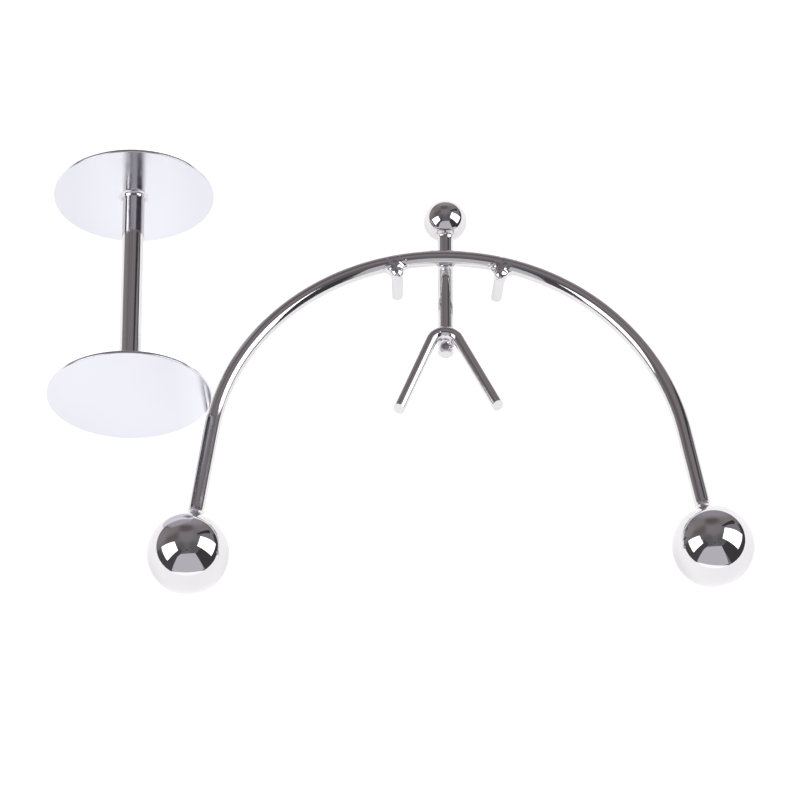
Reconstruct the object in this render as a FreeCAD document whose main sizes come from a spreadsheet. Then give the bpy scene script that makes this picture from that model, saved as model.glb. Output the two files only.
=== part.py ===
import FreeCAD, Part
import os
import Sketcher
from FreeCAD import Placement, Rotation, Vector

# A chromed steel balance toy in its two loose pieces, laid out on a table (the plane Z = 0).
# Stand: two thin discs joined by a post. It lies on the rims of the discs, its axis along Y.
# Figure: a bowed bar with a heavy ball on each end, and a little man welded to the bow. It lies
# level, with the man's head towards +Y. Lengths are in millimetres and angles in degrees.
# The origin is under the middle of the two pieces.

DIMENSIONS = {
    # stand
    "stand_x": 65.0,             # the stand's axis is this far left of the origin
    "stand_y": 8.4,              # its base face is this far in front of the origin
    "plate_diameter": 40.0,
    "plate_thickness": 0.8,
    "plate_edge_radius": 0.25,
    "stand_length": 59.0,
    "post_diameter": 5.5,
    "post_weld_width": 0.9,
    # figure: its datum is midway between the centres of the two balls
    "figure_x": 12.15,
    "figure_y": 46.45,           # the datum is this far in front of the origin
    "ball_diameter": 20.0,
    "ball_spacing": 125.7,
    "ball_weld_height": 0.9,
    "ball_weld_width": 1.1,
    "bar_diameter": 4.1,
    "bow_radius": 57.4,
    "bow_shift": 0.75,           # the bow was bent slightly left of centre
    "bow_rise": 26.1,            # the bow's centre is this far above the ball line
    "slack_radius": 63.7,        # the right shoulder was bent less sharply than the rest
    "slack_start": 45.0,         # from this far above the horizontal down to the straight end
    # man
    "man_shift": 0.6,            # the body crosses the bar slightly right of centre
    "man_lean": 1.0,             # and leans this much to the right
    "weld_gap": 0.1,             # weld metal between two crossing rods
    "body_diameter": 4.0,
    "body_above_bow": 13.9,      # from the bar's centre up to the head's centre
    "body_below_bow": 25.9,      # from the bar's centre down to the body's lower end
    "rod_chamfer": 0.3,
    "head_diameter": 11.0,
    "neck_weld_height": 0.7,
    "neck_weld_width": 0.8,
    "body_weld_radius": 2.75,
    "leg_diameter": 3.0,
    "leg_bend_radius": 3.7,
    "leg_spread": 24.2,          # each leg, from the middle line
    "leg_turn": 1.4,             # the leg wire sits turned by this much
    "leg_shift": 0.1,            # and this far left of the middle
    "leg_top": 61.9,             # from the ball line up to the top of the bent wire's centre line
    "leg_length": 21.4,
    "foot_cut": 20.0,            # slope of the cut end of each foot
    "leg_weld_radius": 2.3,
    "arm_diameter": 2.9,
    "left_arm_reach": 11.6,      # from the middle of the figure, across
    "right_arm_reach": 14.1,
    "left_arm_lean": 0.5,        # the tip leans in by this much
    "right_arm_lean": 4.5,
    "arm_rise": 0.9,             # the arms start this much above the bar's centre line
    "arm_rounding": 1.1,
    "arm_weld_radius": 2.2,
}

doc = FreeCAD.newDocument("balance_toy")
sheet = doc.addObject("Spreadsheet::Sheet", "Dimensions")
for row, (alias, value) in enumerate(DIMENSIONS.items(), start=1):
    sheet.set(f"A{row}", alias)
    sheet.set(f"B{row}", str(value))
    sheet.setAlias(f"B{row}", alias)
doc.recompute()


def cells(expression):
    """Spell out the sheet's name in front of every alias of an expression."""
    words = expression.replace("(", "( ").replace(")", " )").replace(";", " ;").split()
    return " ".join("Dimensions." + word if word in DIMENSIONS else word for word in words)


def place(part, x="0", y="0", z="0", yaw="0", pitch="0", roll="0"):
    """Bind a part's place and its turns: roll about X first, then pitch about Y, yaw about Z."""
    part.setExpression(
        "Placement",
        f"placement(vector({cells(x)}; {cells(y)}; {cells(z)});"
        f" rotation({cells(yaw)}; {cells(pitch)}; {cells(roll)}))",
    )


# Where things are, as expressions of the dimensions
FIGURE_Y = "- figure_y"
BAR_Z = "ball_diameter / 2"
BODY_Z = "( ball_diameter / 2 - bar_diameter / 2 - weld_gap - body_diameter / 2 )"
LEG_Z = f"( {BODY_Z} + body_diameter / 2 + weld_gap + leg_diameter / 2 )"
BOW_X = "( figure_x - bow_shift )"
BOW_Y = "( bow_rise - figure_y )"
MAN_X = "( figure_x + man_shift )"
# the man's datum: where his body crosses the bar's centre line
MAN_Y = f"( {BOW_Y} + sqrt( bow_radius ^ 2 - ( man_shift + bow_shift ) ^ 2 ) )"


# --- ways of making a piece ---------------------------------------------------------------

def new_body(label):
    body = doc.addObject("PartDesign::Body", label)
    body.Label = label
    return body


def origin_plane(body, role):
    return next(f for f in body.Origin.OriginFeatures if f.Role == role)


def new_sketch(body, role):
    sketch = body.newObject("Sketcher::SketchObject", body.Name + "_sketch")
    sketch.AttachmentSupport = [(origin_plane(body, role), "")]
    sketch.MapMode = "FlatFace"
    return sketch


def constrain(sketch, name, expression, *definition):
    """Add a driving dimension to a sketch and bind it."""
    index = sketch.addConstraint(Sketcher.Constraint(*definition))
    sketch.renameConstraint(index, name)
    sketch.setExpression(f".Constraints.{name}", cells(expression))


def padded_circle(label, diameter, length):
    """A disc or a rod: a circle about Z, padded upwards from Z = 0."""
    body = new_body(label)
    sketch = new_sketch(body, "XY_Plane")
    sketch.addGeometry(Part.Circle(Vector(0, 0, 0), Vector(0, 0, 1), 2), False)
    sketch.addConstraint(Sketcher.Constraint("Coincident", 0, 3, -1, 1))
    constrain(sketch, "diameter", diameter, "Diameter", 0, 4)
    pad = body.newObject("PartDesign::Pad", label + "_pad")
    pad.Profile = sketch
    pad.setExpression("Length", cells(length))
    doc.recompute()
    return body


def circles_at(shape, height):
    """Names of the circular edges lying in the plane Z = height of a pad's own frame."""
    return [
        f"Edge{i}" for i, edge in enumerate(shape.Edges, start=1)
        if edge.isClosed() and abs(edge.CenterOfMass.z - height) < 1e-6
    ]


def soften_end(body, kind, size, top):
    """Round (Fillet) or bevel (Chamfer) the top or the bottom edge of a padded circle."""
    base = body.Tip
    box = base.Shape.BoundBox
    edges = circles_at(base.Shape, box.ZMax if top else box.ZMin)
    feature = body.newObject("PartDesign::" + kind, f"{body.Name}_{'top' if top else 'bottom'}")
    feature.Base = (base, edges)
    feature.setExpression("Radius" if kind == "Fillet" else "Size", cells(size))
    doc.recompute()


def drilled_ball(label, diameter, bore):
    """A ball bored along +Z from its surface to its centre, where the rod in it ends."""
    body = new_body(label)
    sketch = new_sketch(body, "XZ_Plane")
    skin = Part.Circle(Vector(0, 0, 0), Vector(0, 0, 1), 5)
    sketch.addGeometry(Part.ArcOfCircle(skin, -1.5708, 1.2), False)
    rim, foot, centre, pole = Vector(1.8, 4.7, 0), Vector(1.8, 0, 0), Vector(0, 0, 0), Vector(0, -5, 0)
    sketch.addGeometry(Part.LineSegment(rim, foot), False)
    sketch.addGeometry(Part.LineSegment(foot, centre), False)
    sketch.addGeometry(Part.LineSegment(centre, pole), False)
    for definition in (
        ("Coincident", 0, 3, -1, 1), ("Coincident", 0, 2, 1, 1), ("Coincident", 1, 2, 2, 1),
        ("Coincident", 2, 2, 3, 1), ("Coincident", 3, 2, 0, 1), ("Coincident", 2, 2, -1, 1),
        ("Vertical", 1), ("Horizontal", 2), ("Vertical", 3),
    ):
        sketch.addConstraint(Sketcher.Constraint(*definition))
    constrain(sketch, "ball_radius", f"{diameter} / 2", "Radius", 0, 5)
    constrain(sketch, "bore_radius", f"{bore} / 2", "DistanceX", -1, 1, 1, 2, 2)
    turned = body.newObject("PartDesign::Revolution", label + "_turned")
    turned.Profile = sketch
    turned.ReferenceAxis = (sketch, ["V_Axis"])
    turned.Angle = 360
    doc.recompute()
    return body


def weld_ring(label, rod, width):
    """A hollow-faced bead round a rod where it stands on a flat face, built up from Z = 0."""
    body = new_body(label)
    sketch = new_sketch(body, "XZ_Plane")
    face = Part.Circle(Vector(3, 1, 0), Vector(0, 0, 1), 1)
    sketch.addGeometry(Part.LineSegment(Vector(2, 0, 0), Vector(3, 0, 0)), False)
    sketch.addGeometry(Part.ArcOfCircle(face, 3.1416, 4.7124), False)
    sketch.addGeometry(Part.LineSegment(Vector(2, 1, 0), Vector(2, 0, 0)), False)
    for definition in (
        ("Coincident", 0, 2, 1, 2), ("Coincident", 1, 1, 2, 1), ("Coincident", 2, 2, 0, 1),
        ("Horizontal", 0), ("Vertical", 2), ("PointOnObject", 0, 1, -1), ("Equal", 0, 2),
        ("Vertical", 1, 3, 0, 2),
    ):
        sketch.addConstraint(Sketcher.Constraint(*definition))
    constrain(sketch, "rod_radius", f"{rod} / 2", "DistanceX", -1, 1, 0, 1, 2)
    constrain(sketch, "bead_width", width, "DistanceX", 0, 1, 0, 2, 1)
    turned = body.newObject("PartDesign::Revolution", label + "_turned")
    turned.Profile = sketch
    turned.ReferenceAxis = (sketch, ["V_Axis"])
    turned.Angle = 360
    doc.recompute()
    return body


def primitive(kind, name, **sizes):
    part = doc.addObject("Part::" + kind, name)
    for size, expression in sizes.items():
        part.setExpression(size, cells(expression))
    return part


def join(label, pieces):
    fused = doc.addObject("Part::MultiFuse", label)
    fused.Shapes = pieces
    fused.Refine = True
    fused.Label = label
    return fused


def trim(label, blank, cutters):
    """The blank less every cutter, as one solid."""
    for number, cutter in enumerate(cutters, start=1):
        last = number == len(cutters)
        cut = doc.addObject("Part::Cut", label if last else f"{label}_cut_{number}")
        cut.Base = blank
        cut.Tool = cutter
        blank = cut
    blank.Label = label
    return blank


# --- stand --------------------------------------------------------------------------------

STAND_X = "- stand_x"
STAND_Z = "plate_diameter / 2"
LAY_BACK = "-90"                 # turns a piece made along Z so that it points to +Y
LAY_FORWARD = "90"

base_plate = padded_circle("base_plate", "plate_diameter", "plate_thickness")
top_plate = padded_circle("top_plate", "plate_diameter", "plate_thickness")
for plate in (base_plate, top_plate):
    soften_end(plate, "Fillet", "plate_edge_radius", top=True)
    soften_end(plate, "Fillet", "plate_edge_radius", top=False)
post = padded_circle("post", "post_diameter", "stand_length - 2 * plate_thickness")
base_weld = weld_ring("base_weld", "post_diameter", "post_weld_width")
top_weld = weld_ring("top_weld", "post_diameter", "post_weld_width")

INNER_BASE_Y = "plate_thickness - stand_y"
INNER_TOP_Y = "stand_length - plate_thickness - stand_y"
place(base_plate, STAND_X, "- stand_y", STAND_Z, roll=LAY_BACK)
place(post, STAND_X, INNER_BASE_Y, STAND_Z, roll=LAY_BACK)
place(base_weld, STAND_X, INNER_BASE_Y, STAND_Z, roll=LAY_BACK)
place(top_plate, STAND_X, "stand_length - stand_y", STAND_Z, roll=LAY_FORWARD)
place(top_weld, STAND_X, INNER_TOP_Y, STAND_Z, roll=LAY_FORWARD)

# --- bowed bar and its balls --------------------------------------------------------------

# On each side the bar leaves its arc along a tangent that runs straight to the ball's centre.
# The left shoulder is the bow's own arc. The right one is a slacker arc that starts in line.
SLACK_X = f"( {BOW_X} - ( slack_radius - bow_radius ) * cos( slack_start ) )"
SLACK_Y = f"( {BOW_Y} - ( slack_radius - bow_radius ) * sin( slack_start ) )"
SIDES = {
    "left": {"sign": "-1", "arc_x": BOW_X, "arc_y": BOW_Y, "radius": "bow_radius"},
    "right": {"sign": "1", "arc_x": SLACK_X, "arc_y": SLACK_Y, "radius": "slack_radius"},
}
for side in SIDES.values():
    side["x"] = f"( figure_x + {side['sign']} * ball_spacing / 2 )"
    rise = f"( {side['arc_y']} + figure_y )"
    reach = f"sqrt( ( {side['x']} - {side['arc_x']} ) ^ 2 + {rise} ^ 2 )"
    side["splay"] = f"( acos( {side['radius']} / {reach} ) - asin( {rise} / {reach} ) )"
    side["yaw"] = f"{side['sign']} * {side['splay']}"
    side["straight"] = f"sqrt( {reach} ^ 2 - {side['radius']} ^ 2 )"

bow = primitive("Torus", "bow", Radius1="bow_radius", Radius2="bar_diameter / 2",
                Angle3=f"180 deg - {SIDES['left']['splay']} - slack_start * 1 deg")
place(bow, BOW_X, BOW_Y, BAR_Z, yaw="slack_start")
slack = primitive("Torus", "slack_shoulder", Radius1="slack_radius", Radius2="bar_diameter / 2",
                  Angle3=f"slack_start * 1 deg - {SIDES['right']['splay']}")
place(slack, SLACK_X, SLACK_Y, BAR_Z, yaw=SIDES["right"]["splay"])
bar_pieces = [bow, slack]
for name, side in SIDES.items():
    straight = primitive("Cylinder", f"{name}_straight", Radius="bar_diameter / 2",
                         Height=side["straight"])
    place(straight, side["x"], FIGURE_Y, BAR_Z, yaw=side["yaw"], roll=LAY_BACK)
    bar_pieces.append(straight)
balance_bar = join("balance_bar", bar_pieces)


def beaded_ball(name, diameter, bore, bead_height, bead_width, x, y, z, yaw, roll):
    """A ball drilled onto a rod, and the small bead that seals the rod in the bore's mouth."""
    ball = drilled_ball(name, diameter, bore)
    skin = primitive("Sphere", f"{name}_skin", Radius=f"{diameter} / 2")
    stem = primitive("Cylinder", f"{name}_stem", Radius=f"{bore} / 2", Height=diameter)
    for part in (ball, skin, stem):
        place(part, x, y, z, yaw=yaw, roll=roll)
    # the bead is a cone that starts inside the ball and narrows to the rod
    depth = f"( 0.1 * {diameter} / 2 )"
    bead = primitive("Cone", f"{name}_bead", Radius2=f"{bore} / 2",
                     Radius1=f"{bore} / 2 + {bead_width} * ( 1 + {depth} / {bead_height} )",
                     Height=f"{depth} + {bead_height}")
    out = f"( {diameter} / 2 - {depth} ) * {'1' if roll == LAY_BACK else '-1'}"
    place(bead, f"{x} - {out} * sin( {yaw} )", f"{y} + {out} * cos( {yaw} )", z,
          yaw=yaw, roll=roll)
    trim(f"{name}_weld", bead, [skin, stem])


for name, side in SIDES.items():
    beaded_ball(f"{name}_ball", "ball_diameter", "bar_diameter", "ball_weld_height",
                "ball_weld_width", side["x"], FIGURE_Y, BAR_Z, side["yaw"], LAY_BACK)

# --- man: head, body and legs -------------------------------------------------------------

LEAN = "( 0 - man_lean )"


def along_body(distance):
    """X and Y of a point on the body's centre line, so far above the bar's centre line."""
    return (f"{MAN_X} + {distance} * sin( man_lean )", f"{MAN_Y} + {distance} * cos( man_lean )")


body_rod = padded_circle("body_rod", "body_diameter", "body_below_bow + body_above_bow")
soften_end(body_rod, "Chamfer", "rod_chamfer", top=False)
place(body_rod, *along_body("( 0 - body_below_bow )"), BODY_Z, yaw=LEAN, roll=LAY_BACK)
beaded_ball("head_ball", "head_diameter", "body_diameter", "neck_weld_height",
            "neck_weld_width", *along_body("body_above_bow"), BODY_Z, LEAN, LAY_FORWARD)


def weld_blob(label, radius, x, y, z, rods):
    """A blob of weld metal round the place where two rods cross."""
    blob = primitive("Sphere", label + "_blob", Radius=radius)
    place(blob, x, y, z)
    trim(label, blob, rods)


weld_blob("body_weld", "body_weld_radius", MAN_X, MAN_Y,
          f"{BAR_Z} - bar_diameter / 2 - weld_gap / 2", [balance_bar, body_rod])

# The leg wire is bent over at the top. Each leg leaves the bend along a tangent.
LEG_X = "( figure_x - leg_shift )"
LEG_TOP_Y = "( leg_top - figure_y )"
BEND_Y = f"( {LEG_TOP_Y} - leg_bend_radius )"
bend = primitive("Torus", "leg_bend", Radius1="leg_bend_radius", Radius2="leg_diameter / 2",
                 Angle3="180 - 2 * leg_spread")
place(bend, LEG_X, BEND_Y, LEG_Z, yaw="leg_spread + leg_turn")
LEGS = {"left": ("-1", "( leg_turn - leg_spread )"), "right": ("1", "( leg_turn + leg_spread )")}
leg_pieces, foot_cutters = [bend], []
for name, (sign, yaw) in LEGS.items():
    hip_x = f"{LEG_X} + {sign} * leg_bend_radius * cos( {yaw} )"
    hip_y = f"{BEND_Y} + {sign} * leg_bend_radius * sin( {yaw} )"
    leg = primitive("Cylinder", f"{name}_leg", Radius="leg_diameter / 2",
                    Height="leg_length + leg_diameter")
    place(leg, hip_x, hip_y, LEG_Z, yaw=yaw, roll=LAY_FORWARD)
    leg_pieces.append(leg)
    cutter = primitive("Cylinder", f"{name}_foot_cutter", Radius="2 * leg_diameter",
                       Height="2 * leg_diameter")
    place(cutter, f"{hip_x} + leg_length * sin( {yaw} )", f"{hip_y} - leg_length * cos( {yaw} )",
          LEG_Z, yaw=yaw, roll=f"{LAY_FORWARD} - foot_cut")
    foot_cutters.append(cutter)
leg_wire = trim("leg_wire", join("bent_wire", leg_pieces), foot_cutters)
weld_blob("leg_weld", "leg_weld_radius", LEG_X, LEG_TOP_Y,
          f"{LEG_Z} - leg_diameter / 2 - weld_gap / 2", [leg_wire, body_rod])

# --- man: arms, two pegs on the inner side of the bow -------------------------------------

ARM_CIRCLE = "( bow_radius - bar_diameter / 2 - weld_gap - arm_diameter / 2 )"
WELD_CIRCLE = "( bow_radius - bar_diameter / 2 - weld_gap / 2 )"
ARMS = {
    "left": ("( 0 - left_arm_lean )", "( bow_shift - left_arm_reach )"),
    "right": ("right_arm_lean", "( bow_shift + right_arm_reach )"),
}
for name, (pitch, across) in ARMS.items():
    arm = padded_circle(f"{name}_arm", "arm_diameter", "ball_diameter / 2 + arm_rise")
    soften_end(arm, "Fillet", "arm_rounding", top=True)
    soften_end(arm, "Chamfer", "rod_chamfer", top=False)
    sine = f"( {across} / {ARM_CIRCLE} )"
    cosine = f"sqrt( 1 - {sine} ^ 2 )"
    lift = f"arm_diameter / 2 * abs( sin( {pitch} ) )"
    place(arm, f"{BOW_X} + {across} - ball_diameter / 2 * tan( {pitch} )",
          f"{BOW_Y} + {ARM_CIRCLE} * {cosine}", lift, pitch=pitch)
    weld_blob(f"{name}_arm_weld", "arm_weld_radius", f"{BOW_X} + {WELD_CIRCLE} * {sine}",
              f"{BOW_Y} + {WELD_CIRCLE} * {cosine}", BAR_Z, [balance_bar, arm])

# --- check every object, then write each piece --------------------------------------------

PIECES = [
    "base_plate", "top_plate", "post", "base_weld", "top_weld",
    "balance_bar", "left_ball", "right_ball", "left_ball_weld", "right_ball_weld",
    "head_ball", "head_ball_weld", "body_rod", "body_weld", "leg_wire", "leg_weld",
    "left_arm", "right_arm", "left_arm_weld", "right_arm_weld",
]

doc.recompute()
for part in doc.Objects:
    if "Invalid" in part.State or "Error" in part.State:
        raise RuntimeError(f"{part.Label} failed: {part.State}")
os.makedirs("parts", exist_ok=True)
for label in PIECES:
    shape = doc.getObjectsByLabel(label)[0].Shape
    if shape.isNull() or not shape.isValid() or len(shape.Solids) != 1:
        raise RuntimeError(f"{label} is not one valid solid")
    shape.exportStep(f"parts/{label}.step")
    print(f"{label}: {shape.Volume:.2f} mm3")
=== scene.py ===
import math

import bpy
import numpy as np
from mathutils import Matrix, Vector


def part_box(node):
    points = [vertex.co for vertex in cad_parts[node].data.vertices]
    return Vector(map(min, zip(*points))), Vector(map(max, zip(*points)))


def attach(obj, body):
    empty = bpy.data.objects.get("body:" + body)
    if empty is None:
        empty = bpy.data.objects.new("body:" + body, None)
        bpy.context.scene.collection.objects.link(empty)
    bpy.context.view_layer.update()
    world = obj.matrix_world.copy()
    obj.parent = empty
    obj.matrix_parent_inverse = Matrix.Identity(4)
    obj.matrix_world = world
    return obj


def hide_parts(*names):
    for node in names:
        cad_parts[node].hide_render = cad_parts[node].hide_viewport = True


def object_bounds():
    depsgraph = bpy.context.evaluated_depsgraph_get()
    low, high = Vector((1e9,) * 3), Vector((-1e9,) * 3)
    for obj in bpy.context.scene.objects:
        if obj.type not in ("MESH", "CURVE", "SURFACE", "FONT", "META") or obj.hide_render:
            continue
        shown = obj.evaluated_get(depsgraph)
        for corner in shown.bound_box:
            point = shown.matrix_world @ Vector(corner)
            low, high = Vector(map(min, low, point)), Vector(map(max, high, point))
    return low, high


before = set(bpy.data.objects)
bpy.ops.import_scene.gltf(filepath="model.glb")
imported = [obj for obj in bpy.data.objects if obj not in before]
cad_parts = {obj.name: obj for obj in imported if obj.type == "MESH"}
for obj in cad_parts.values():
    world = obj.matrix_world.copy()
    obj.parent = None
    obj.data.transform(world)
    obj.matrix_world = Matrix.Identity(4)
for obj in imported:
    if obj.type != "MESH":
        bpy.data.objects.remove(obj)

cad_low, cad_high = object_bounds()
MM = 0.001

# ---------------------------------------------------------------------------------------
# Sizes, in millimetres and degrees: the same design as the CAD part
# ---------------------------------------------------------------------------------------
PLATE_R, PLATE_T, PLATE_EDGE = 20.0, 0.8, 0.25
POST_R = 2.75
FIGURE = np.array([12.15, -46.45])      # midway between the two balls
BALL_R, BALL_GAP = 10.0, 125.7
BAR_R, BAR_Z = 2.05, 10.0
BOW_R, BOW_CENTRE = 57.4, FIGURE + [-0.75, 26.1]
SLACK_R, SLACK_START = 63.7, math.radians(45.0)
MAN_SHIFT, MAN_LEAN = 0.6, math.radians(1.0)
BODY_R, BODY_UP, BODY_DOWN = 2.0, 13.9, 25.9
HEAD_R = 5.5
ROD_CHAMFER, WELD_GAP = 0.3, 0.1
LEG_R, LEG_BEND_R, LEG_TOP, LEG_LENGTH = 1.5, 3.7, 61.9, 21.4
LEG_YAWS = {"left": math.radians(1.4 - 24.2), "right": math.radians(1.4 + 24.2)}
LEG_SHIFT = 0.1
FOOT_CUT = math.radians(20.0)
ARM_R, ARM_LENGTH, ARM_ROUND = 1.45, 10.9, 1.1
ARM_ACROSS = {"left": -10.85, "right": 14.85}
ARM_PITCH = {"left": math.radians(-0.5), "right": math.radians(4.5)}

BODY_Z = BAR_Z - BAR_R - WELD_GAP - BODY_R
LEG_Z = BODY_Z + BODY_R + WELD_GAP + LEG_R


def unit(v):
    v = np.asarray(v, float)
    return v / np.linalg.norm(v)


# ---------------------------------------------------------------------------------------
# Materials: four chrome finishes
# ---------------------------------------------------------------------------------------
def node(tree, kind, inputs=None, **settings):
    """A shader node with its settings and input values filled in."""
    made = tree.nodes.new(kind)
    for key, value in settings.items():
        setattr(made, key, value)
    for key, value in (inputs or {}).items():
        made.inputs[key].default_value = value
    return made


def chrome(name, light, dark, rough, wave, wave_scale, grain, pits):
    """Plated steel. light and dark are its two tints, rough its least and most roughness, wave the
    depth in mm of slow unevenness, grain of fine polishing marks and pits of tiny specks."""
    material = bpy.data.materials.new(name)
    material.use_nodes = True
    tree = material.node_tree
    tree.nodes.clear()
    link = tree.links.new
    out = node(tree, "ShaderNodeOutputMaterial")
    shader = node(tree, "ShaderNodeBsdfPrincipled", {"Metallic": 1.0, "IOR": 2.5})
    link(shader.outputs["BSDF"], out.inputs["Surface"])
    place = node(tree, "ShaderNodeTexCoord")
    scale = node(tree, "ShaderNodeMapping", {"Scale": (1000.0, 1000.0, 1000.0)})
    link(place.outputs["Object"], scale.inputs["Vector"])
    mm = scale.outputs["Vector"]

    def noise(scale_mm, detail=2.0, roughness=0.5, distortion=0.0):
        made = node(tree, "ShaderNodeTexNoise", {
            "Scale": 1.0 / scale_mm, "Detail": detail, "Roughness": roughness,
            "Distortion": distortion})
        link(mm, made.inputs["Vector"])
        return made.outputs["Fac"]

    # colour: a faint drift of tint over the plating
    tint = node(tree, "ShaderNodeMix", data_type="RGBA")
    tint.inputs["A"].default_value = (*dark, 1.0)
    tint.inputs["B"].default_value = (*light, 1.0)
    link(noise(9.0, 3.0, 0.6), tint.inputs["Factor"])
    link(tint.outputs["Result"], shader.inputs["Base Color"])

    # roughness: mostly a clear mirror, hazier in soft patches
    haze = node(tree, "ShaderNodeMapRange", {
        "From Min": 0.35, "From Max": 0.75, "To Min": rough[0], "To Max": rough[1]})
    link(noise(3.5, 4.0, 0.65), haze.inputs["Value"])
    link(haze.outputs["Result"], shader.inputs["Roughness"])

    # relief: slow waves, fine polishing marks, scattered specks
    def relief(height, depth_mm, below=None):
        made = node(tree, "ShaderNodeBump", {"Strength": 1.0, "Distance": depth_mm * MM})
        link(height, made.inputs["Height"])
        if below:
            link(below, made.inputs["Normal"])
        return made.outputs["Normal"]

    normal = relief(noise(wave_scale, 1.0, 0.4), wave)
    normal = relief(noise(0.35, 3.0, 0.7), grain, normal)
    cells = node(tree, "ShaderNodeTexVoronoi", {"Scale": 1.0 / 1.6, "Randomness": 1.0})
    link(mm, cells.inputs["Vector"])
    speck = node(tree, "ShaderNodeMapRange", {
        "From Min": 0.02, "From Max": 0.09, "To Min": 0.0, "To Max": 1.0})
    link(cells.outputs["Distance"], speck.inputs["Value"])
    normal = relief(speck.outputs["Result"], pits, normal)
    link(normal, shader.inputs["Normal"])
    return material


BALL = chrome("ball_chrome", (0.67, 0.655, 0.675), (0.65, 0.635, 0.655), (0.02, 0.04),
              0.010, 7.0, 0.00004, 0.002)
PLATE = chrome("plate_chrome", (0.69, 0.69, 0.742), (0.68, 0.68, 0.728), (0.13, 0.20),
               0.030, 5.0, 0.0004, 0.002)
ROD = chrome("rod_chrome", (0.67, 0.658, 0.665), (0.63, 0.618, 0.625), (0.04, 0.10),
             0.012, 5.0, 0.0003, 0.004)
WELD = chrome("weld_chrome", (0.67, 0.655, 0.68), (0.61, 0.595, 0.63), (0.03, 0.08),
              0.030, 1.8, 0.0006, 0.004)
FINISH = {"ball_chrome": BALL, "plate_chrome": PLATE, "rod_chrome": ROD, "weld_chrome": WELD}


# ---------------------------------------------------------------------------------------
# Ways of making a piece
# ---------------------------------------------------------------------------------------
def piece(name, points, faces, body, stands_for, slot, sharp=32.0):
    """A mesh in the row frame, from points in mm, riding on a body in place of a CAD node."""
    mesh = bpy.data.meshes.new(name)
    mesh.from_pydata((np.asarray(points) * MM).tolist(), [], [list(f) for f in faces])
    mesh.validate()
    mesh.shade_smooth()
    mesh.set_sharp_from_angle(angle=math.radians(sharp))
    mesh.materials.append(FINISH[slot])
    made = bpy.data.objects.new(name, mesh)
    bpy.context.scene.collection.objects.link(made)
    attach(made, body)
    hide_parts(stands_for)
    return made


def across(axis):
    """Two directions square to an axis and to each other, right-handed with it."""
    axis = unit(axis)
    other = np.array([0.0, 0.0, 1.0]) if abs(axis[2]) < 0.9 else np.array([1.0, 0.0, 0.0])
    u = unit(np.cross(other, axis))
    return u, np.cross(axis, u)


def skin_rings(rings):
    """Points and faces of a closed skin over rings; a ring is one point or a loop of points."""
    points, faces, starts = [], [], []
    for ring in rings:
        starts.append(len(points))
        points.extend(ring)
    for (a, first), (b, second) in zip(zip(starts, rings), zip(starts[1:], rings[1:])):
        n = max(len(first), len(second))
        for i in range(n):
            j = (i + 1) % n
            if len(first) == 1:
                faces.append((a, b + j, b + i))
            elif len(second) == 1:
                faces.append((a + i, a + j, b))
            else:
                faces.append((a + i, a + j, b + j, b + i))
    return points, faces


def lathe(name, start, axis, profile, segments, *rest, **more):
    """A turned piece. profile is (distance along the axis, radius) from one end to the other."""
    start, axis = np.asarray(start, float), unit(axis)
    u, w = across(axis)
    turn = np.linspace(0, 2 * math.pi, segments, endpoint=False)
    rings = []
    for along, radius in profile:
        middle = start + axis * along
        if radius < 1e-9:
            rings.append([middle])
        else:
            rings.append([middle + radius * (math.cos(t) * u + math.sin(t) * w) for t in turn])
    return piece(name, *skin_rings(rings), *rest, **more)


def sweep(name, path, radius, segments, *rest, first=None, last=None, **more):
    """A round wire along a flat path (all at one height), closed at both ends. first and last
    bend a ring: each is a function from the ring's points to the ring's points."""
    path = np.asarray(path, float)
    ahead = np.gradient(path, axis=0)
    turn = np.linspace(0, 2 * math.pi, segments, endpoint=False)
    rings = []
    for middle, direction in zip(path, ahead):
        side = unit(np.cross(direction, [0, 0, 1]))
        rings.append([middle + radius * (math.cos(t) * side + math.sin(t) * np.array([0, 0, 1]))
                      for t in turn])
    if first:
        rings[0] = first(rings[0])
    if last:
        rings[-1] = last(rings[-1])
    inset = lambda ring, share: [np.mean(ring, axis=0) + share * (p - np.mean(ring, axis=0))
                                 for p in ring]
    rings = ([[np.mean(rings[0], axis=0)], inset(rings[0], 0.9)] + rings
             + [inset(rings[-1], 0.9), [np.mean(rings[-1], axis=0)]])
    return piece(name, *skin_rings(rings), *rest, **more)


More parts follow.
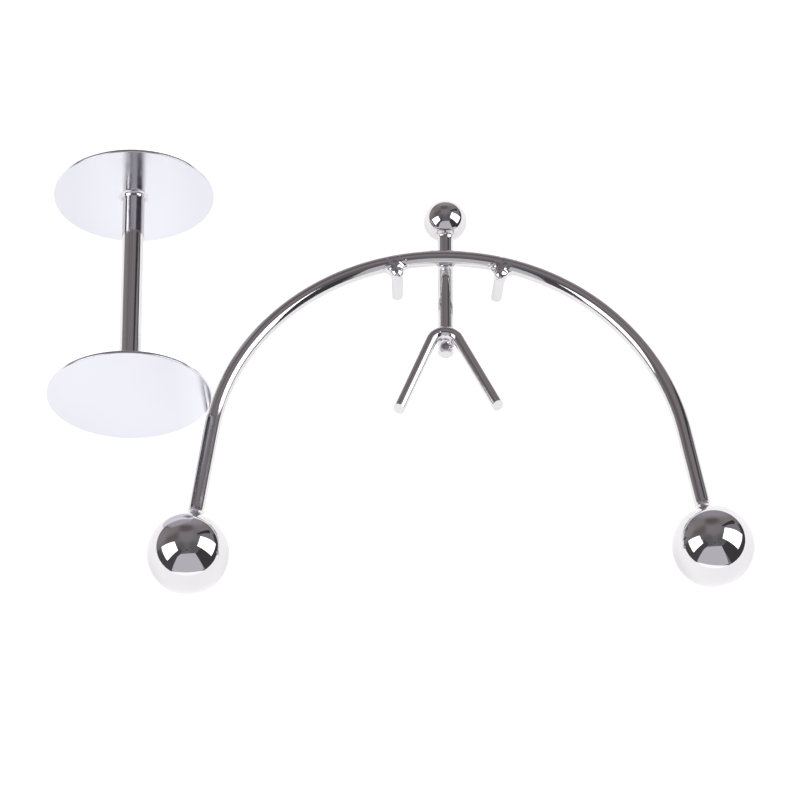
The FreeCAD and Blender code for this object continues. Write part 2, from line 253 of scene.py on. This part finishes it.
def blob(name, field, low, high, step, *rest, **more):
    """The closed skin where field(points) is zero (surface nets), drawn onto it exactly."""
    low, high = np.asarray(low, float), np.asarray(high, float)
    count = np.ceil((high - low) / step).astype(int) + 1
    grid = np.stack(np.meshgrid(*[low[i] + step * np.arange(count[i]) for i in range(3)],
                                indexing="ij"), axis=-1)
    value = field(grid.reshape(-1, 3)).reshape(count)
    inside = value < 0
    corners = [(i, j, k) for i in (0, 1) for j in (0, 1) for k in (0, 1)]
    cut = lambda array, c: array[c[0]:count[0] - 1 + c[0], c[1]:count[1] - 1 + c[1],
                                 c[2]:count[2] - 1 + c[2]]
    total = sum(cut(inside, c).astype(int) for c in corners)
    active = (total > 0) & (total < 8)
    cells = np.argwhere(active)
    number = np.full(active.shape, -1)
    number[active] = np.arange(len(cells))
    middle, hits = np.zeros((len(cells), 3)), np.zeros(len(cells))
    for a in corners:
        for axis in range(3):
            if a[axis]:
                continue
            b = tuple(a[i] + (i == axis) for i in range(3))
            va, vb = cut(value, a)[active], cut(value, b)[active]
            crossed = (va < 0) != (vb < 0)
            share = np.where(crossed, va / np.where(crossed, va - vb, 1.0), 0.0)
            spot = np.array(a, float) + share[:, None] * (np.array(b) - np.array(a))
            middle += crossed[:, None] * spot
            hits += crossed
    points = low + step * (cells + middle / hits[:, None])
    faces = []
    for axis in range(3):
        one, two = [(1, 2), (2, 0), (0, 1)][axis]
        spans = [slice(1, None)] * 3
        spans[axis] = slice(None)
        begin = [slice(None)] * 3
        begin[axis], end = slice(0, count[axis] - 1), [slice(None)] * 3
        end[axis] = slice(1, count[axis])
        crossed = inside[tuple(begin)] != inside[tuple(end)]
        outward = inside[tuple(begin)]
        for spot in np.argwhere(crossed):
            if spot[one] < 1 or spot[two] < 1 or spot[one] >= count[one] - 1 \
                    or spot[two] >= count[two] - 1:
                continue
            loop = []
            for d1, d2 in ((-1, -1), (0, -1), (0, 0), (-1, 0)):
                cell = list(spot)
                cell[one] += d1
                cell[two] += d2
                loop.append(int(number[tuple(cell)]))
            faces.append(loop if outward[tuple(spot)] else loop[::-1])
    tiny = 1e-3
    for _ in range(4):
        here = field(points)
        slope = np.stack([(field(points + tiny * e) - field(points - tiny * e)) / (2 * tiny)
                          for e in np.eye(3)], axis=1)
        size = np.maximum((slope ** 2).sum(axis=1), 0.05)
        points = points - np.clip(here / size, -step, step)[:, None] * slope
    return piece(name, points, faces, *rest, **more)


def arc(centre, radius, start, stop, step=1.0):
    """Points along an arc at the height of its centre, about step degrees apart."""
    n = max(2, int(abs(math.degrees(stop - start)) / step) + 1)
    return [np.array([centre[0] + radius * math.cos(t), centre[1] + radius * math.sin(t),
                      centre[2]]) for t in np.linspace(start, stop, n)]


def run(a, b, step=2.0):
    """Points from a to b, without b itself."""
    a, b = np.asarray(a, float), np.asarray(b, float)
    n = max(1, int(np.linalg.norm(b - a) / step))
    return [a + (b - a) * i / n for i in range(n)]


# distances to simple shapes, and their blend, for weld metal
def to_line(p, a, b, radius):
    a, b = np.asarray(a, float), np.asarray(b, float)
    t = np.clip(((p - a) @ (b - a)) / ((b - a) @ (b - a)), 0, 1)
    return np.linalg.norm(p - (a + t[:, None] * (b - a)), axis=1) - radius


def to_ball(p, centre, radius):
    return np.linalg.norm(p - np.asarray(centre, float), axis=1) - radius


def to_ring(p, centre, ring, radius):
    flat = np.hypot(p[:, 0] - centre[0], p[:, 1] - centre[1]) - ring
    return np.hypot(flat, p[:, 2] - centre[2]) - radius


def melt(a, b, reach):
    """The union of two shapes with a hollow fillet between them."""
    near = np.maximum(reach - np.abs(a - b), 0) / reach
    return np.minimum(a, b) - near ** 2 * reach / 4


def ripple(p, depth, pitch, phase=0.0):
    """Slow unevenness of weld metal."""
    q = p * (2 * math.pi / pitch)
    return depth * (np.sin(q[:, 0] + 1.3 * np.sin(q[:, 1] + phase)) * np.cos(q[:, 2] * 0.8 + phase)
                    + 0.5 * np.sin(1.7 * q[:, 1] - 0.9 * q[:, 2] + 2 * phase))


SUNK = 0.02     # weld metal starts this far under the rods' own surfaces
NET, BALL_NET = 0.14, 0.13      # spacing of the grids that weld metal is drawn on

# ---------------------------------------------------------------------------------------
# Stand
# ---------------------------------------------------------------------------------------
base_low, base_high = (np.array(v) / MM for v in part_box("base_plate"))
top_low = np.array(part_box("top_plate")[0]) / MM
axis_x, axis_z = (base_low[0] + base_high[0]) / 2, (base_low[2] + base_high[2]) / 2


def disc_profile():
    bend = [(PLATE_EDGE * (1 - math.cos(t)), PLATE_R - PLATE_EDGE * (1 - math.sin(t)))
            for t in np.linspace(0, math.pi / 2, 9)]
    flat = [(0.0, 0.0), (0.0, 6.0), (0.0, 14.0), (0.0, PLATE_R - PLATE_EDGE - 0.15)]
    half = flat + bend
    return half + [(PLATE_T - along, radius) for along, radius in reversed(half)]


for label, node_name, face in (("base_disc", "base_plate", base_low[1]),
                               ("top_disc", "top_plate", top_low[1])):
    lathe(label, (axis_x, face, axis_z), (0, 1, 0), disc_profile(), 256,
          "stand", node_name, "plate_chrome")

post_low, post_high = base_high[1], top_low[1]
lathe("stand_post", (axis_x, post_low, axis_z), (0, 1, 0),
      [(0, 0), (0, POST_R - 0.1), (0, POST_R)]
      + [(along, POST_R) for along in np.linspace(0.3, post_high - post_low - 0.3, 60)]
      + [(post_high - post_low, POST_R), (post_high - post_low, POST_R - 0.1),
         (post_high - post_low, 0)],
      96, "stand", "post", "rod_chrome")

POST_FILLET, POST_WELD_LIMIT = 1.3, 1.25
POST_WELD_BOX = np.array([4.6, 1.6, 4.6])
for label, node_name, face, way in (("base_disc_weld", "base_weld", post_low, 1),
                                    ("top_disc_weld", "top_weld", post_high, -1)):
    def post_weld(p, face=face, way=way):
        plate = (p[:, 1] - face) * way
        rod = np.hypot(p[:, 0] - axis_x, p[:, 2] - axis_z) - POST_R
        joint = melt(plate, rod, POST_FILLET) + SUNK + ripple(p, 0.02, 3.1, way)
        around = np.hypot(rod, plate) - POST_WELD_LIMIT
        return np.maximum(joint, np.maximum(around, -plate - 0.3))
    middle = np.array([axis_x, face, axis_z])
    blob(label, post_weld, middle - POST_WELD_BOX, middle + POST_WELD_BOX, NET,
         "stand", node_name, "weld_chrome")

# ---------------------------------------------------------------------------------------
# Bowed bar, its two balls and their welds
# ---------------------------------------------------------------------------------------
bow = np.array([*BOW_CENTRE, BAR_Z])
slack = np.array([*(BOW_CENTRE - (SLACK_R - BOW_R)
                    * np.array([math.cos(SLACK_START), math.sin(SLACK_START)])), BAR_Z])
SIDES = {}
for label, sign, centre, radius in (("left", -1, bow, BOW_R), ("right", 1, slack, SLACK_R)):
    ball = np.array([FIGURE[0] + sign * BALL_GAP / 2, FIGURE[1], BALL_R])
    rise = centre[1] - ball[1]
    reach = math.hypot(ball[0] - centre[0], rise)
    splay = math.acos(radius / reach) - math.asin(rise / reach)
    way = np.array([-sign * math.sin(splay), math.cos(splay), 0.0])
    tangent = ball + way * math.sqrt(reach ** 2 - radius ** 2)
    SIDES[label] = {"ball": ball, "way": way, "splay": splay, "tangent": tangent}

left, right = SIDES["left"], SIDES["right"]
bar_path = (run(left["ball"], left["tangent"])
            + arc(bow, BOW_R, math.pi - left["splay"], SLACK_START)[:-1]
            + arc(slack, SLACK_R, SLACK_START, right["splay"])
            + run(right["ball"], right["tangent"])[::-1])
sweep("bowed_bar", bar_path, BAR_R, 72, "figure", "balance_bar", "rod_chrome")


def ball_profile(radius, bore, steps=110):
    mouth = math.asin(bore / radius)
    skin = [(radius * math.cos(t), radius * math.sin(t))
            for t in np.linspace(mouth, math.pi, steps)]
    skin[-1] = (-radius, 0.0)
    return [(0.0, 0.0), (0.0, bore), (radius * math.cos(mouth) - 0.2, bore)] + skin


def ball_weld(name, node_name, centre, way, radius, rod, reach, limit, phase):
    """The hollow bead where a rod enters a ball: reach is how far the fillet spreads, limit how far
    from the mouth any of it may lie, phase where its unevenness starts."""
    mouth = np.asarray(centre) + unit(way) * math.sqrt(radius ** 2 - rod ** 2)

    def field(p):
        skin = to_ball(p, centre, radius)
        stem = to_line(p, centre, np.asarray(centre) + unit(way) * radius * 2, rod)
        joint = melt(skin, stem, reach) + SUNK + ripple(p, 0.03, 2.3, phase)
        return np.maximum(joint, to_ball(p, mouth, limit))

    blob(name, field, mouth - limit - 0.3, mouth + limit + 0.3, BALL_NET,
         "figure", node_name, "weld_chrome")


for label, side in SIDES.items():
    lathe(f"{label}_ball_shell", side["ball"], side["way"], ball_profile(BALL_R, BAR_R), 192,
          "figure", f"{label}_ball", "ball_chrome")
    ball_weld(f"{label}_ball_bead", f"{label}_ball_weld", side["ball"], side["way"],
              BALL_R, BAR_R, reach=2.6, limit=3.6, phase=0.4 if label == "left" else 2.1)

# ---------------------------------------------------------------------------------------
# Man: body, head, legs and arms
# ---------------------------------------------------------------------------------------
upward = np.array([math.sin(MAN_LEAN), math.cos(MAN_LEAN), 0.0])
offset = MAN_SHIFT - (BOW_CENTRE[0] - FIGURE[0])
crossing = np.array([FIGURE[0] + MAN_SHIFT, bow[1] + math.sqrt(BOW_R ** 2 - offset ** 2), BODY_Z])
head, hem = crossing + upward * BODY_UP, crossing - upward * BODY_DOWN

length = BODY_UP + BODY_DOWN
lathe("body_stem", hem, upward,
      [(0, 0), (0, BODY_R - ROD_CHAMFER - 0.1), (0, BODY_R - ROD_CHAMFER),
       (ROD_CHAMFER, BODY_R)]
      + [(along, BODY_R) for along in np.linspace(ROD_CHAMFER + 0.1, length - 0.3, 60)]
      + [(length, BODY_R), (length, 0)],
      80, "figure", "body_rod", "rod_chrome")
lathe("head_shell", head, -upward, ball_profile(HEAD_R, BODY_R, 90), 160,
      "figure", "head_ball", "ball_chrome")
ball_weld("neck_bead", "head_ball_weld", head, -upward, HEAD_R, BODY_R,
          reach=0.9, limit=2.5, phase=1.0)


BODY_FILLET, BODY_WELD_LIMIT = 1.6, 3.1
seat = crossing + [0, 0, BODY_R]


def body_joint(p):
    bar = to_ring(p, bow, BOW_R, BAR_R)
    stem = to_line(p, hem, head, BODY_R)
    joint = melt(bar, stem, BODY_FILLET) + SUNK + ripple(p, 0.03, 2.5, 0.7)
    return np.maximum(joint, to_ball(p, seat, BODY_WELD_LIMIT))


blob("body_joint", body_joint, seat - 3.4, seat + 3.4, NET, "figure", "body_weld",
     "weld_chrome")

leg_x, leg_top = FIGURE[0] - LEG_SHIFT, LEG_TOP + FIGURE[1]
bend = np.array([leg_x, leg_top - LEG_BEND_R, LEG_Z])
LEGS = {}
for label, sign in (("left", -1), ("right", 1)):
    yaw = LEG_YAWS[label]
    hip = bend + sign * LEG_BEND_R * np.array([math.cos(yaw), math.sin(yaw), 0.0])
    down = np.array([math.sin(yaw), -math.cos(yaw), 0.0])
    LEGS[label] = {"hip": hip, "down": down, "foot": hip + down * LEG_LENGTH}


def cut_foot(leg):
    """Slides a ring along the leg onto the sloping cut."""
    slope = leg["down"] * math.cos(FOOT_CUT) + np.array([0, 0, math.sin(FOOT_CUT)])

    def slide(ring):
        return [p - leg["down"] * (((p - leg["foot"]) @ slope) / math.cos(FOOT_CUT))
                for p in ring]
    return slide


leg_path = (run(LEGS["left"]["foot"], LEGS["left"]["hip"], 1.5)
            + arc(bend, LEG_BEND_R, math.pi + LEG_YAWS["left"], LEG_YAWS["right"], 4.0)
            + run(LEGS["right"]["foot"], LEGS["right"]["hip"], 1.5)[::-1])
sweep("leg_pair", leg_path, LEG_R, 64, "figure", "leg_wire", "rod_chrome",
      first=cut_foot(LEGS["left"]), last=cut_foot(LEGS["right"]))


LEG_BLEND, LEG_FILLET, LEG_WELD_LIMIT, LEG_WELD_DOWN = 0.4, 2.6, 3.3, 0.6
leg_seat = np.array([leg_x, leg_top, LEG_Z - LEG_R])


def leg_joint(p):
    wire = melt(to_ring(p, bend, LEG_BEND_R, LEG_R),
                np.minimum(to_line(p, LEGS["left"]["hip"], LEGS["left"]["foot"], LEG_R),
                           to_line(p, LEGS["right"]["hip"], LEGS["right"]["foot"], LEG_R)),
                LEG_BLEND)
    stem = to_line(p, hem, head, BODY_R)
    joint = melt(wire, stem, LEG_FILLET) + SUNK + ripple(p, 0.04, 2.1, 1.9)
    return np.maximum(joint, to_ball(p, leg_seat - [0, LEG_WELD_DOWN, 0], LEG_WELD_LIMIT))


blob("leg_joint", leg_joint, leg_seat - 4.2, leg_seat + 4.2, NET, "figure", "leg_weld",
     "weld_chrome")

ARM_RING = BOW_R - BAR_R - WELD_GAP - ARM_R
WELD_RING = BOW_R - BAR_R - WELD_GAP / 2
ARM_FILLET, ARM_WELD_LIMIT, ARM_WELD_DROP = 2.8, 3.9, 0.4
for label, across_mm in ARM_ACROSS.items():
    pitch = ARM_PITCH[label]
    cosine = math.sqrt(1 - (across_mm / ARM_RING) ** 2)
    foot = np.array([bow[0] + across_mm - BAR_Z * math.tan(pitch), bow[1] + ARM_RING * cosine,
                     ARM_R * abs(math.sin(pitch))])
    rise = np.array([math.sin(pitch), 0.0, math.cos(pitch)])
    dome = [(ARM_LENGTH - ARM_ROUND * (1 - math.cos(t)), ARM_R - ARM_ROUND * (1 - math.sin(t)))
            for t in np.linspace(math.pi / 2, 0, 14)]
    lathe(f"{label}_arm_peg", foot, rise,
          [(0, 0), (0, ARM_R - ROD_CHAMFER - 0.1), (0, ARM_R - ROD_CHAMFER),
           (ROD_CHAMFER, ARM_R)]
          + [(along, ARM_R) for along in np.linspace(ROD_CHAMFER + 0.1,
                                                     ARM_LENGTH - ARM_ROUND - 0.2, 30)]
          + dome + [(ARM_LENGTH, 0)],
          64, "figure", f"{label}_arm", "rod_chrome")
    spot = np.array([bow[0] + WELD_RING * across_mm / ARM_RING, bow[1] + WELD_RING * cosine,
                     BAR_Z])

    def arm_joint(p, foot=foot, rise=rise, spot=spot):
        bar = to_ring(p, bow, BOW_R, BAR_R)
        peg = to_line(p, foot, foot + rise * (ARM_LENGTH - 0.6), ARM_R - 0.05)
        joint = melt(bar, peg, ARM_FILLET) + SUNK + ripple(p, 0.06, 2.2, foot[0])
        return np.maximum(joint, to_ball(p, spot - [0, 0, ARM_WELD_DROP], ARM_WELD_LIMIT))

    blob(f"{label}_arm_joint", arm_joint, spot - [4.4, 4.4, 4.8], spot + [4.4, 4.4, 4.4], NET,
         "figure", f"{label}_arm_weld", "weld_chrome")

# ---------------------------------------------------------------------------------------
# Table, studio and light
# ---------------------------------------------------------------------------------------
WHITE = (1.0, 1.0, 1.0)


def emission(name, colour, strength):
    material = bpy.data.materials.new(name)
    material.use_nodes = True
    tree = material.node_tree
    tree.nodes.clear()
    shader = node(tree, "ShaderNodeEmission", {"Color": (*colour, 1.0), "Strength": strength})
    out = node(tree, "ShaderNodeOutputMaterial")
    tree.links.new(shader.outputs["Emission"], out.inputs["Surface"])
    return material


def card(name, corners, colour, strength):
    """A studio card, seen in the chrome and not by the camera. Corners are in mm."""
    mesh = bpy.data.meshes.new(name)
    mesh.from_pydata([tuple(np.asarray(c) * MM) for c in corners], [],
                     [tuple(range(len(corners)))])
    mesh.materials.append(emission(name, colour, strength))
    made = bpy.data.objects.new(name, mesh)
    bpy.context.scene.collection.objects.link(made)
    made.visible_camera = False
    made.visible_shadow = False


def toward(zenith, azimuth, distance):
    """The point so far from the middle of the table, at angles in degrees: zenith from straight
    up, azimuth round from +X."""
    z, a = math.radians(zenith), math.radians(azimuth)
    return distance * np.array([math.sin(z) * math.cos(a), math.sin(z) * math.sin(a),
                                math.cos(z)])


# two softboxes, by the distance and the (zenith, azimuth) of each corner
for name, distance, spots in (
    ("right_softbox", 900, [(38, 35), (80, 15), (74, -19), (26, -19)]),
    ("left_softbox", 790, [(36, 173), (72, 177), (72, -148), (34, -144)]),
):
    card(name, [toward(z, a, distance) for z, a in spots], WHITE, 3.0)

# a grey wall stands in front, its left end a little further off, with a white sheet at its foot
WALL_LEFT, WALL_RIGHT = (-580, -710), (480, -655)
WALL_FOOT, WALL_TOP = 65, 1170
card("front_panel", [(*WALL_LEFT, WALL_TOP), (*WALL_LEFT, WALL_FOOT), (*WALL_RIGHT, WALL_FOOT),
                     (*WALL_RIGHT, WALL_TOP)], (0.98, 0.95, 1.02), 0.68)
sheet_edge = [(x, -640 - 0.05 * abs(x), 12 + 88 * (1 - ((x + 50) / 520) ** 2))
              for x in np.linspace(-560, 460, 25)]
card("front_sheet", [(460, -660, -5), (-560, -660, -5)] + sheet_edge, WHITE, 1.5)

# darker parts of the room, by their corners' (zenith, azimuth)
DARK_DISTANCE = 1500

for name, level, spots in (
    ("front_right_dark", 0.062, [(38, -58), (38, -13), (91, -9), (91, -48)]),
    ("front_left_dark", 0.085, [(28, -122), (26, -155), (91, -172), (91, -130)]),
    ("right_low_dark", 0.065, [(80, 38), (76, -12), (91, -12), (91, 38)]),
    ("right_flag", 0.05, [(37, 52), (36, 46), (78, 38), (76, 48)]),
    ("right_wall", 0.27, [(50, 45), (40, 25), (78, 15), (79, 42)]),
    ("left_low_dark", 0.10, [(76, 178), (75, -160), (91, -160), (91, 178)]),
):
    card(name, [toward(z, a, DARK_DISTANCE) for z, a in spots], (1.0, 0.97, 1.03), level)

world = bpy.data.worlds.new("studio")
bpy.context.scene.world = world
world.use_nodes = True
tree = world.node_tree
tree.nodes.clear()
link = tree.links.new
out = node(tree, "ShaderNodeOutputWorld")
room = node(tree, "ShaderNodeBackground", {"Strength": 1.0})
white = node(tree, "ShaderNodeBackground", {"Color": (1.0, 1.0, 1.0, 1.0), "Strength": 1.1})
path = node(tree, "ShaderNodeLightPath")
choose = node(tree, "ShaderNodeMixShader")
link(path.outputs["Is Camera Ray"], choose.inputs["Fac"])
link(room.outputs["Background"], choose.inputs[1])
link(white.outputs["Background"], choose.inputs[2])
link(choose.outputs["Shader"], out.inputs["Surface"])
way = node(tree, "ShaderNodeTexCoord")
colour = None
BASE_ROOM = (0.218, 0.211, 0.214)
# soft round patches of other tones on it: zenith, azimuth, radius, softness of the edge, colour
for zenith, azimuth, radius, soft, tone in (
    (25, 95, 14, 14, (0.28, 0.245, 0.27)),
    (50, 95, 10, 12, (0.150, 0.128, 0.122)),
    (45, 150, 12, 12, (0.17, 0.145, 0.142)),
    (66, 130, 14, 12, (0.28, 0.25, 0.245)),
    (68, 60, 14, 12, (0.28, 0.245, 0.245)),
    (84, 90, 22, 12, (0.385, 0.36, 0.40)),
    (80, 150, 12, 12, (0.31, 0.285, 0.295)),
    (25, 215, 12, 14, (0.145, 0.14, 0.15)),
    (25, 330, 12, 14, (0.145, 0.14, 0.15)),
    (19, 270, 2.0, 1.0, (0.06, 0.055, 0.06)),
):
    centre = toward(zenith, azimuth, 1.0)
    aim = node(tree, "ShaderNodeVectorMath", {1: tuple(centre)}, operation="DOT_PRODUCT")
    link(way.outputs["Generated"], aim.inputs[0])
    near = node(tree, "ShaderNodeMapRange", {
        "From Min": math.cos(math.radians(radius + soft)),
        "From Max": math.cos(math.radians(max(radius - soft, 0.1))),
        "To Min": 0.0, "To Max": 1.0}, interpolation_type="SMOOTHSTEP")
    link(aim.outputs["Value"], near.inputs["Value"])
    mix = node(tree, "ShaderNodeMix", data_type="RGBA")
    link(near.outputs["Result"], mix.inputs["Factor"])
    if colour is None:
        mix.inputs["A"].default_value = (*BASE_ROOM, 1.0)
    else:
        link(colour, mix.inputs["A"])
    mix.inputs["B"].default_value = (*tone, 1.0)
    colour = mix.outputs["Result"]
link(colour, room.inputs["Color"])

# the white table: bright enough that its shadows wash out
table = bpy.data.materials.new("white_table")
table.use_nodes = True
tree = table.node_tree
tree.nodes.clear()
link = tree.links.new
out = node(tree, "ShaderNodeOutputMaterial")
paper = node(tree, "ShaderNodeBsdfDiffuse", {"Color": (0.8, 0.8, 0.8, 1.0), "Roughness": 0.5})
glow = node(tree, "ShaderNodeEmission", {"Color": (1.0, 1.0, 1.0, 1.0), "Strength": 0.75})
both = node(tree, "ShaderNodeAddShader")
link(paper.outputs["BSDF"], both.inputs[0])
link(glow.outputs["Emission"], both.inputs[1])
link(both.outputs["Shader"], out.inputs["Surface"])

FLOOR_HALF = 1200
mesh = bpy.data.meshes.new("table_top")
mesh.from_pydata([(x * FLOOR_HALF * MM, y * FLOOR_HALF * MM, 0.0)
                  for x, y in ((-1, -1), (1, -1), (1, 1), (-1, 1))], [], [(0, 1, 2, 3)])
mesh.materials.append(table)
floor = bpy.data.objects.new("table_top", mesh)
bpy.context.scene.collection.objects.link(floor)

# ---------------------------------------------------------------------------------------
# Camera
# ---------------------------------------------------------------------------------------
ELEVATION, AZIMUTH, DISTANCE, LENS = math.radians(58.8), math.radians(0.9), 0.9424, 171.0
AIM_RIGHT, AIM_BACK = 0.75, 1.76        # the camera looks this far off the middle of the object
aim = Vector(((cad_low.x + cad_high.x) / 2 + AIM_RIGHT * MM,
              (cad_low.y + cad_high.y) / 2 + AIM_BACK * MM, cad_low.z))
forward = Vector((math.sin(AZIMUTH) * math.cos(ELEVATION),
                  math.cos(AZIMUTH) * math.cos(ELEVATION), -math.sin(ELEVATION)))
camera_data = bpy.data.cameras.new("camera")
camera_data.lens = LENS
camera_data.sensor_width = 36.0
camera = bpy.data.objects.new("camera", camera_data)
camera.location = aim - forward * DISTANCE
camera.rotation_mode = "QUATERNION"
camera.rotation_quaternion = forward.to_track_quat("-Z", "Y")
bpy.context.scene.collection.objects.link(camera)
bpy.context.scene.camera = camera
bpy.context.scene.view_settings.view_transform = "Standard"
